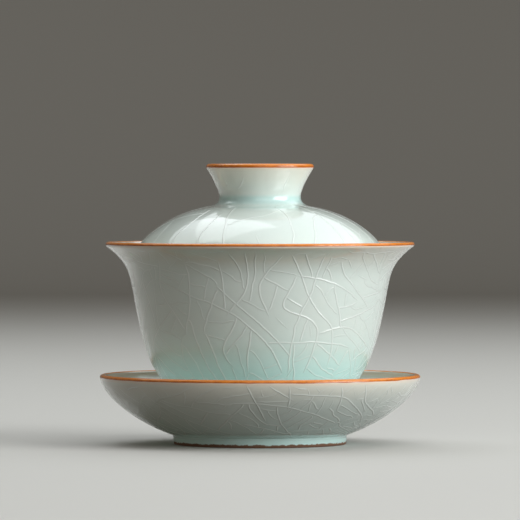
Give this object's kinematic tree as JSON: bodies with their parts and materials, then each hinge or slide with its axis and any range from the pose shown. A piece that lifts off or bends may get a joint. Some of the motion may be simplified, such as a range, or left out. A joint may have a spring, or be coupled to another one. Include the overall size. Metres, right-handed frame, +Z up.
{
  "type": "gaiwan",
  "caption": "Lidded tea bowl on a footed saucer: flared bowl, domed lid with a hollow knob, crackled pale blue-green glaze and iron-brown rims.",
  "frame": {"origin": "centre of the saucer's foot ring, on the plane that it stands on", "axes": "+Z up along the axis that all three pieces are turned about; +X and +Y are alike"},
  "size_m": [0.1038, 0.1038, 0.0907],
  "materials": {
    "celadon_glaze": "gloss",
    "iron_brown_rim": "gloss",
    "bare_clay": "matte"
  },
  "bodies": {
    "saucer": {"saucer_foot_ring": "bare_clay", "saucer_dish": "celadon_glaze", "saucer_rim_band": "iron_brown_rim"},
    "bowl": {"bowl_foot_ring": "bare_clay", "bowl_wall": "celadon_glaze", "bowl_rim_band": "iron_brown_rim"},
    "lid": {"lid_edge_band": "iron_brown_rim", "lid_dome": "celadon_glaze", "lid_knob": "celadon_glaze", "knob_rim_band": "iron_brown_rim"}
  },
  "joints": [
    {"name": "bowl_lift", "type": "slide", "parent": "saucer", "child": "bowl", "axis": [0, 0, 1], "range_m": [0, 0.08]},
    {"name": "lid_lift", "type": "slide", "parent": "bowl", "child": "lid", "axis": [0, 0, 1], "range_m": [0, 0.06]}
  ]
}
